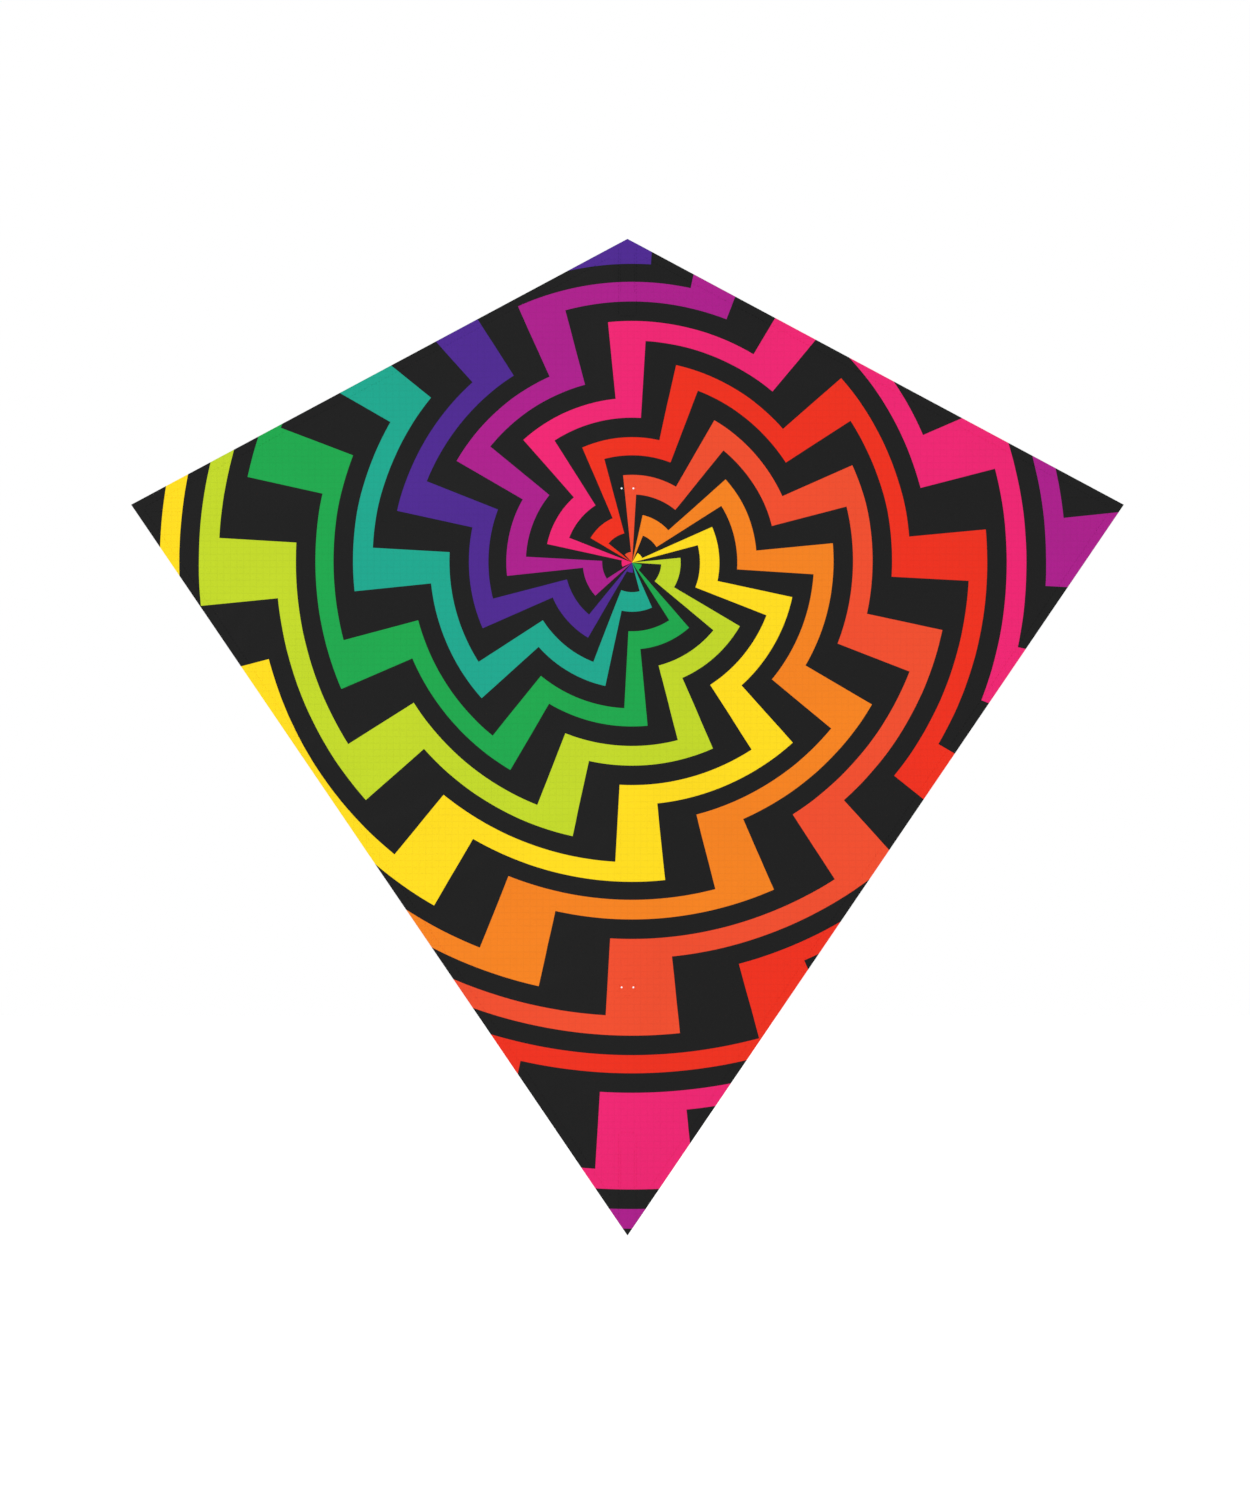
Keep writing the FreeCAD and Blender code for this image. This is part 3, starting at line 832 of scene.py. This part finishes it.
class Stitches:
    """Rows of thread, gathered into one mesh for the front or back."""

    def __init__(self):
        self.verts, self.faces, self.uvs = [], [], []

    def add(self, start, end, normal, shown):
        """One stitch: a short thread that dives into the cloth at both ends, and the places on
        the print that those show."""
        along = (end - start) / np.linalg.norm(end - start)
        across = np.cross(along, normal)
        first, count = len(self.verts), STITCH_SIDES
        for share, size, rise in STITCH_RINGS:
            centre = start + (end - start) * share + normal * rise * THREAD_RADIUS
            self.verts += circle(centre, across, normal, THREAD_RADIUS * size, count).tolist()
            self.uvs += [(shown[0] + (shown[1] - shown[0]) * share).tolist()] * count
        self.faces += tube_faces(len(STITCH_RINGS), count, first)

    def row(self, side, sail, start, end, off, facing):
        """A row of stitches between two cloth points, on the face that looks that way."""
        start, end = np.array(start, float), np.array(end, float)
        length = np.linalg.norm(end - start)
        count = max(1, int(length / STITCH_PITCH))
        along = (end - start) / length
        first = (length - (count - 1) * STITCH_PITCH) / 2
        for index in range(count):
            middle = start + along * (first + index * STITCH_PITCH)
            ends = np.array([middle - along * STITCH_LONG / 2, middle + along * STITCH_LONG / 2])
            at_cloth = sail.lift(ends) + off
            low, high = (place(side, *ends.T, at_cloth + out) for out in (0, facing * MM))
            normal = (high - low).mean(axis=0) / MM
            shown = np.stack([shown_x(side, ends[:, 0]), ends[:, 1]], axis=-1)
            self.add(low[0], low[1], normal, shown)


def make_stitches(word, body, side, sail, rows):
    """The front and back of rows of stitches, each given by its start, its end and how far the
    back of what it sews is off the middle of the cloth. The front thread takes the print."""
    front, back = Stitches(), Stitches()
    for start, end, behind in rows:
        front.row(side, sail, start, end, FRONT, -1)
        back.row(side, sail, start, end, behind, 1)
    for name, sewn, thread in (("front", front, PRINT_FRONT), ("back", back, THREAD)):
        piece = make_object(
            f"{word}_{name}_stitches", sewn.verts, sewn.faces, sewn.uvs, [thread]
        )
        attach(piece, body)


def wing_rows():
    """Stitch rows along a wing's two hems, near their inner edges, and down both sides of its
    pocket."""
    share = HEM_SEAM / HEM_WIDTH
    meet = across_where((inwards(TAIL) - inwards(NOSE)) * share)
    rows = []
    for end in (NOSE, TAIL):
        start, stop = (
            (across, edge_height(end, across) + inwards(end) * share)
            for across in (BEND_END + SEAM_GAP, meet)
        )
        rows.append((start, stop, HEM_BACK))
    for up in (WING_LINE + WING_POCKET_SEAM, WING_LINE - WING_POCKET_SEAM):
        start, stop = ((HALF_SPAN - from_tip, up) for from_tip in WING_POCKET_ROW)
        rows.append((start, stop, HEM_BACK + TAPE))
    return rows


# ---- pockets
# A pocket's flanges are POCKET_HALF wide each side. Its tunnel starts to rise POCKET_REACH before
# its closed end, after a foot that is sewn down, is up after POCKET_CLOSING and flares at its mouth.
POCKET_HALF = 6.5 * MM
POCKET_REACH = 2.2 * MM
POCKET_FOOT = 1.6 * MM
POCKET_CLOSING = 3.2 * MM
POCKET_MOUTH = 4 * MM
ROOF_ROOM = 0.1 * MM
SIDE_ROOM = 0.2 * MM


class Spot:
    """A place to build on: along runs down the spar from a pocket's closed end, across is over
    the spar, and off is away from the cloth."""

    def __init__(self, origin, along, across, off):
        self.origin, self.along = np.array(origin, float), np.array(along, float)
        self.across, self.off = np.array(across, float), np.array(off, float)

    def at(self, along, across, off):
        return self.origin + along * self.along + across * self.across + off * self.off


def wing_spot(side, reach):
    """A spot on the wing line, at a distance from the fold line, looking back to the spine."""
    outward = np.array([side * math.cos(DIHEDRAL), math.sin(DIHEDRAL), 0])
    off = (-side * math.sin(DIHEDRAL), math.cos(DIHEDRAL), 0)
    origin = np.array([side * FOLD_X, MIDDLE_Y, WING_LINE]) + reach * outward
    return Spot(origin, -outward, (0, 0, 1), off)


def spine_spot(height, direction):
    """A spot on the spine at a height, looking up with direction 1 and down with -1."""
    return Spot((0, MIDDLE_Y, height), (0, 0, direction), (1, 0, 0), (0, 1, 0))


def tape_section(flange, tunnel, height):
    """Outline of a pocket across its spar: its outer face, then back along its inner face."""
    outer = [(-flange, 0.0), (-(flange + tunnel) / 2, 0.0)]
    for angle in np.linspace(math.pi, 0, 15):
        across, up = rounded(angle, 2 / 2.6)
        outer.append((tunnel * across, height * up))
    outer += [((flange + tunnel) / 2, 0.0), (flange, 0.0)]
    outer = np.array(outer)
    forward = directions(outer)
    inner = outer + TAPE * np.stack([forward[:, 1], -forward[:, 0]], axis=-1)
    inner[:, 1] = np.maximum(inner[:, 1], -TAPE)
    return np.vstack([outer, inner[::-1]])


def arc(distance, long):
    """0 up to 1 round a quarter of a circle, as a distance goes from 0 to long."""
    return math.sqrt(1 - (1 - portion(distance, long)) ** 2)


def make_pocket(node, body, spot, base, top, half_width, long, widest=None):
    """A tape pocket: two flanges sewn down and a tunnel over the spar, closed at one end.

    base is where it lies on the cloth and top is the tunnel's roof inside, both off the middle of
    the cloth, and widest gives the flange's greatest half width at a distance along.
    """
    start, foot = -POCKET_REACH, -POCKET_REACH - POCKET_FOOT
    stations = np.concatenate([
        [foot, start - POCKET_FOOT * 0.6],
        start + POCKET_CLOSING * (1 - np.cos(np.linspace(0, math.pi / 2, 9))),
        np.linspace(start + POCKET_CLOSING, long, 12)[1:],
    ])
    sections = []
    for along in stations:
        grown = arc(along - start, POCKET_CLOSING)
        flare = 1 + 0.04 * portion(along - long + POCKET_MOUTH, POCKET_MOUTH) ** 2
        flange = POCKET_HALF * (0.8 + 0.2 * arc(along - foot, 2 * MM))
        if widest is not None:
            flange = min(flange, widest(along))
        tunnel = half_width * (0.6 + 0.4 * grown) * flare
        outline = tape_section(flange, tunnel, (top - base) * grown * flare)
        sections.append([spot.at(along, x, base + TAPE + h) for x, h in outline])
    piece = loft(f"{node}_tape", sections, [WEBBING], sharp=50)
    finish_piece(piece, body, node)


def make_spine_pockets():
    """The pockets over the spine's two ends."""
    cap_low, cap_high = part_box("spine_top_cap")
    roof = cap_high.y - MIDDLE_Y + ROOF_ROOM
    tunnel = (cap_high.x - cap_low.x) / 2 + SIDE_ROOM + TAPE
    for node, direction in (("nose_pocket", -1), ("tail_pocket", 1)):
        low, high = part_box(node)
        spot = spine_spot(high.z if direction < 0 else low.z, direction)
        make_pocket(node, "frame", spot, PATCH_BACK, roof, tunnel, high.z - low.z)


def make_wing_pockets():
    """The pockets over the spreaders' tips, whose flanges keep inside the sail's edges."""
    cap_low, cap_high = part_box("right_spreader_cap")
    radius = (cap_high.z - cap_low.z) / 2
    closed_end = ROD_END + 2.6 * MM
    low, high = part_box("right_wing_pocket")
    long = (high.x - low.x) / math.cos(DIHEDRAL) - 1.2 * MM

    def inside_edge(along):
        """Height of the leading edge above the wing line there, less a margin."""
        return edge_height(NOSE, FOLD_X + closed_end - along) - WING_LINE - 0.9 * MM

    for word, side in SIDES.items():
        make_pocket(
            f"{word}_wing_pocket", f"{word}_wing", wing_spot(side, closed_end), HEM_BACK,
            ROD_LIFT + radius + ROOF_ROOM, radius + SIDE_ROOM + TAPE, long, inside_edge,
        )


# ---- spars and fittings
SPREADER_CAP = 14 * MM
CAP_END = 2 * MM
CONNECTOR_BORE = 1.6 * MM


def round_piece(name, node, body, spot, lift, profile, material, loop=False):
    """A round piece about a spar's axis: profile is a list of distances along and radii. With
    loop it closes on itself as a ring does, and otherwise it has flat ends."""
    sections = [
        circle(spot.at(along, 0, lift), spot.across, spot.off, radius) for along, radius in profile
    ]
    finish_piece(loft(name, sections, [material], loop=loop), body, node)


def rod_profile(long, radius):
    """A sawn rod with its ends lightly chamfered."""
    edge = 0.35 * MM
    middle = [(share * long, radius) for share in np.linspace(0.02, 0.98, 25)]
    start = [(0, radius - edge), (edge, radius)]
    return start + middle + [(long - along, size) for along, size in reversed(start)]


def make_rods():
    """The spine and the two spreader rods."""
    profile = rod_profile(spine_high.z - spine_low.z, SPINE_RADIUS)
    round_piece("spine_rod_glass", "spine_rod", "frame", spine_spot(spine_low.z, 1),
                SPINE_Y - MIDDLE_Y, profile, GLASS)
    profile = rod_profile(ROD_END - ROD_START, ROD_RADIUS)
    for word, side in SIDES.items():
        round_piece(f"{word}_spreader_glass", f"{word}_spreader", f"{word}_wing",
                    wing_spot(side, ROD_END), ROD_LIFT, profile, GLASS)


def cap_profile(long, radius, bore):
    """A sleeve with a soft rounded end and a rolled mouth."""
    end = [(0, radius * 0.55), (0.25 * MM, radius * 0.8), (0.8 * MM, radius * 0.96)]
    body = [(1.5 * MM, radius), (long - 1.2 * MM, radius), (long - 0.8 * MM, radius)]
    mouth = [(long - 0.2 * MM, radius * 0.97), (long, radius * 0.88), (long, bore + 0.1 * MM),
             (long - 0.5 * MM, bore)]
    return end + body + mouth


def make_caps():
    """The end caps of the spine and the spreader rods."""
    for node, end in (("spine_top_cap", -1), ("spine_bottom_cap", 1)):
        low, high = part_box(node)
        profile = cap_profile(high.z - low.z, (high.x - low.x) / 2, SPINE_RADIUS)
        round_piece(f"{node}_vinyl", node, "frame", spine_spot(high.z if end < 0 else low.z, end),
                    SPINE_Y - MIDDLE_Y, profile, VINYL)
    low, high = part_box("right_spreader_cap")
    profile = cap_profile(SPREADER_CAP, (high.z - low.z) / 2, ROD_RADIUS)
    for word, side in SIDES.items():
        round_piece(f"{word}_spreader_cap_vinyl", f"{word}_spreader_cap", f"{word}_wing",
                    wing_spot(side, ROD_END + CAP_END), ROD_LIFT, profile, VINYL)


def make_stoppers():
    """Two rubber rings on the spine, above and below the connector."""
    edge = 0.9 * MM
    for node in ("upper_stopper", "lower_stopper"):
        low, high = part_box(node)
        radius, tall = (high.x - low.x) / 2, high.z - low.z
        start = [(0.1 * MM, SPINE_RADIUS), (0, SPINE_RADIUS + 0.25 * MM)]
        for angle in np.linspace(0, math.pi / 2, 6):
            start.append((edge - edge * math.cos(angle), radius - edge + edge * math.sin(angle)))
        profile = start + [(tall - along, size) for along, size in reversed(start)]
        round_piece(f"{node}_ring", node, "frame", spine_spot(low.z, 1), SPINE_Y - MIDDLE_Y,
                    profile, RUBBER, loop=True)


def make_connector():
    """The vinyl tube, as two halves that meet at the spine."""
    low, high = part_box("spreader_connector")
    radius = (high.z - low.z) / 2
    arm_end = high.x + (ROD_LIFT - radius) * math.sin(DIHEDRAL) - FOLD_X
    bend_radius = FOLD_X / math.sin(DIHEDRAL) - ROD_LIFT
    bend_y = MIDDLE_Y + FOLD_X / math.tan(DIHEDRAL)
    bend_long = bend_radius * DIHEDRAL
    long = bend_long + arm_end / math.cos(DIHEDRAL)

    def centre(side, distance):
        """Point on the tube's axis, and the direction that it runs in."""
        turn = min(distance / bend_radius, DIHEDRAL)
        straight = max(0.0, distance - bend_long)
        x = bend_radius * math.sin(turn) + straight * math.cos(turn)
        y = bend_y - bend_radius * math.cos(turn) + straight * math.sin(turn)
        return (side * x, y, WING_LINE), (side * math.cos(turn), math.sin(turn), 0)

    rings = [(distance, radius) for distance in np.linspace(0, long - 0.8 * MM, 60)]
    edge = 0.5 * MM
    for angle in np.linspace(0, math.pi / 2, 5)[1:]:
        rings.append((long - edge + edge * math.sin(angle), radius - edge + edge * math.cos(angle)))
    rings += [(long, (radius + CONNECTOR_BORE) / 2), (long, CONNECTOR_BORE + 0.15 * MM),
              (long - 0.4 * MM, CONNECTOR_BORE), (long - 6 * MM, CONNECTOR_BORE)]
    for word, side in SIDES.items():
        sections = []
        for distance, ring in rings:
            middle, along = centre(side, distance)
            across = np.cross(along, (0, 0, 1))
            sections.append(circle(middle, across, (0, 0, 1), ring, 40))
        piece = loft(f"{word}_connector_tube", sections, [VINYL])
        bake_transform(piece)
        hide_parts("spreader_connector")


def make_tail_ring():
    """The moulded ring for the tail."""
    low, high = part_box("tail_ring")
    middle = np.array((low + high) / 2)
    bar = ((high.x - low.x) / 2 - RING_INNER) / 2
    half_thick = (high.y - low.y) / 2
    sections = []
    for angle in np.linspace(0, 2 * math.pi, 72, endpoint=False):
        outward = np.array([math.cos(angle), 0, math.sin(angle)])
        section = []
        for turn in np.linspace(0, 2 * math.pi, 20, endpoint=False):
            across, deep = rounded(turn, 2 / 3.2)
            out = RING_INNER + bar + bar * across
            section.append(middle + outward * out + np.array([0, half_thick * deep, 0]))
        sections.append(section)
    ring = loft("tail_ring_moulding", sections, [NYLON], loop=True)
    finish_piece(ring, "tail_ring", "tail_ring")


def make_tail_tab():
    """The tape tab that the ring swings in: down, round the ring and up again."""
    low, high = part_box("tail_tab")
    pivot_y, pivot_z = joints["tail_ring_swing"]["pos_m"][1:]
    loop, half = (high.y - low.y) / 2 - TAPE / 2, (high.x - low.x) / 2
    near = pivot_y - loop
    route = [(near, high.z + 3 * MM), (near, high.z), (near, pivot_z + 2 * MM)]
    for angle in np.linspace(math.pi, 2.75 * math.pi, 30):
        route.append((pivot_y + loop * math.cos(angle), pivot_z + loop * math.sin(angle)))
    route.append((near + TAPE * 1.1, pivot_z + loop * 1.45))
    route.append((near + TAPE * 1.05, high.z + 1 * MM))
    route = np.array(route)
    sections = []
    for (y, z), (dy, dz) in zip(route, directions(route) * TAPE / 2):
        corners = ((-half, -1), (half, -1), (half, 1), (-half, 1))
        sections.append([(x, y - dz * out, z + dy * out) for x, out in corners])
    finish_piece(loft("tail_tab_tape", sections, [WEBBING]), "frame", "tail_tab")


# ---- patches on the centre strip
PATCH_HALF = 7.4 * MM
PATCH_SPACING = 2.5 * MM
BRIDLE_MARGIN = 1.2 * MM
BRIDLE_PATCHES = ("upper_bridle_patch", "lower_bridle_patch")


def rounded_rectangle(half, low, high, radius):
    """A convex outline with rounded corners, in cloth coordinates."""
    outline = []
    corners = ((half, high, 0), (-half, high, 90), (-half, low, 180), (half, low, 270))
    for across, up, first in corners:
        cx = across - math.copysign(radius, across)
        cz = up - radius if up == high else up + radius
        for turn in np.linspace(0, 90, 6):
            angle = math.radians(first + turn)
            outline.append((cx + radius * math.cos(angle), cz + radius * math.sin(angle)))
    return outline


def patch_shapes():
    """Outline and holes of each patch, in cloth coordinates."""
    shapes = {}
    for node in BRIDLE_PATCHES:
        low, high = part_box(node)
        middle = (low.z + high.z) / 2
        holes = [(s * HOLE_ACROSS, middle, HOLE_RADIUS) for s in (-1, 1)]
        shapes[node] = (rounded_rectangle(PATCH_HALF, low.z, high.z, 3 * MM), holes)
    for node, end, flat, half in (
        ("nose_patch", NOSE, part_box("nose_patch")[0].z, PATCH_HALF),
        ("tail_patch", TAIL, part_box("tail_patch")[1].z, -PATCH_HALF),
    ):
        slant = edge_height(end, PATCH_HALF)
        outline = [(0.0, end), (-half, slant), (-half, flat), (half, flat), (half, slant)]
        shapes[node] = (outline, [])
    return shapes


def make_patches():
    """The nose, tail and bridle patches, sewn to the back of the centre strip."""
    for node, (outline, holes) in patch_shapes().items():
        points, triangles = cut_cloth(outline, PATCH_SPACING, holes)
        verts = np.vstack([
            np.stack([points[:, 0], np.full(len(points), MIDDLE_Y + off), points[:, 1]], axis=-1)
            for off in (BACK, PATCH_BACK)
        ])
        behind, walls = back_and_walls(triangles, len(points))
        piece = make_object(f"{node}_cloth", verts, triangles + behind + walls,
                            np.vstack([points, points]), [PATCH])
        finish_piece(piece, "frame", node)


class FlatCloth:
    """Stands for the sail where it is flat, along the spine."""

    @staticmethod
    def lift(points):
        return np.zeros(len(points))


def upright_rows(edge, low, high, behind):
    """Two stitch rows up and down the centre strip, one each side of the spine."""
    return [((across, low), (across, high), behind) for across in (-edge, edge)]


def centre_rows():
    """Stitch rows round the pockets and patches of the centre strip."""
    margin, slant_margin = 1 * MM, 2 * MM
    rows = []
    for node in ("nose_pocket", "tail_pocket"):
        low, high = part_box(node)
        rows += upright_rows(
            SPINE_POCKET_SEAM, low.z + margin, high.z - margin, PATCH_BACK + TAPE
        )
    edge = PATCH_SEAM
    for end, flat, low, high in (
        (NOSE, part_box("nose_patch")[0].z + margin, 0, -slant_margin),
        (TAIL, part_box("tail_patch")[1].z - margin, slant_margin, 0),
    ):
        slant = edge_height(end, edge)
        rows += upright_rows(edge, min(flat, slant) + low, max(flat, slant) + high, PATCH_BACK)
        rows.append(((-edge, flat), (edge, flat), PATCH_BACK))
    edge, corner = BRIDLE_SEAM, 2 * MM
    for node in BRIDLE_PATCHES:
        low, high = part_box(node)
        bottom, top = low.z + BRIDLE_MARGIN, high.z - BRIDLE_MARGIN
        rows += upright_rows(edge, bottom + corner, top - corner, PATCH_BACK)
        for up in (bottom, top):
            rows.append(((corner - edge, up), (edge - corner, up), PATCH_BACK))
    return rows


# ---- camera, light and floor
PICTURE_WIDTH = 956.9 * MM
PICTURE_SHAPE = 1250 / 1500
CAMERA_DISTANCE = 20.0
CAMERA_LEFT = 1.9 * MM
CAMERA_DROP = 9.8 * MM
SENSOR = 36.0
KEY_PLACE = (-1.6, -2.2, 1.6)
FLOOR_REACH = 40
FLOOR_DROP = 240 * MM


def make_camera():
    """A far camera in front, that frames the kite as the picture does."""
    data = bpy.data.cameras.new("camera")
    data.sensor_width = SENSOR
    data.lens = SENSOR * CAMERA_DISTANCE / (PICTURE_WIDTH / PICTURE_SHAPE)
    data.clip_end = 100
    camera = add_object("camera", data)
    camera.location = (-CAMERA_LEFT, -CAMERA_DISTANCE, (NOSE + TAIL) / 2 - CAMERA_DROP)
    camera.rotation_euler = (math.pi / 2, 0, 0)
    bpy.context.scene.camera = camera


def make_lights():
    """A white world, a soft lamp in front to one side, and a wide sun overhead."""
    scene = bpy.context.scene
    scene.view_settings.view_transform = "Standard"
    world = bpy.data.worlds.new("studio")
    world.use_nodes = True
    background = world.node_tree.nodes["Background"]
    background.inputs["Color"].default_value = (1, 1, 1, 1)
    background.inputs["Strength"].default_value = 1.0
    scene.world = world
    key = bpy.data.lights.new("key", "AREA")
    key.size = 1.2
    key.energy = 10
    lamp = add_object("key", key)
    lamp.location = KEY_PLACE
    direction = Vector((0, 0, (NOSE + TAIL) / 2)) - Vector(KEY_PLACE)
    lamp.rotation_euler = direction.to_track_quat("-Z", "Y").to_euler()
    overhead = bpy.data.lights.new("overhead", "SUN")
    overhead.energy = 0.6
    overhead.angle = math.radians(60)
    add_object("overhead", overhead)


def make_floor():
    """A pale floor, far enough below to be out of the picture."""
    nodes = Nodes("floor", 0.9)
    mottle = nodes.noise(nodes.place(), 3.0, 2.0)
    mesh = bpy.data.meshes.new("floor")
    corners = [(-1, -1), (1, -1), (1, 1), (-1, 1)]
    verts = [(FLOOR_REACH * x, FLOOR_REACH * y, 0) for x, y in corners]
    mesh.from_pydata(verts, [], [(0, 1, 2, 3)])
    mesh.materials.append(
        nodes.finish(nodes.mix(mottle, (0.9, 0.9, 0.9, 1), (0.93, 0.93, 0.93, 1)))
    )
    floor = add_object("floor", mesh)
    floor.location.z = cad_low.z - FLOOR_DROP


make_camera()
make_lights()
make_floor()
for wing_word, wing_side in SIDES.items():
    half = Sail(wing_side)
    make_sail(wing_word, half)
    make_hems(wing_word, half)
    make_stitches(wing_word, f"{wing_word}_wing", wing_side, half, wing_rows())
make_spine_pockets()
make_wing_pockets()
make_rods()
make_caps()
make_stoppers()
make_connector()
make_tail_ring()
make_tail_tab()
make_patches()
make_stitches("centre", "frame", 1, FlatCloth, centre_rows())
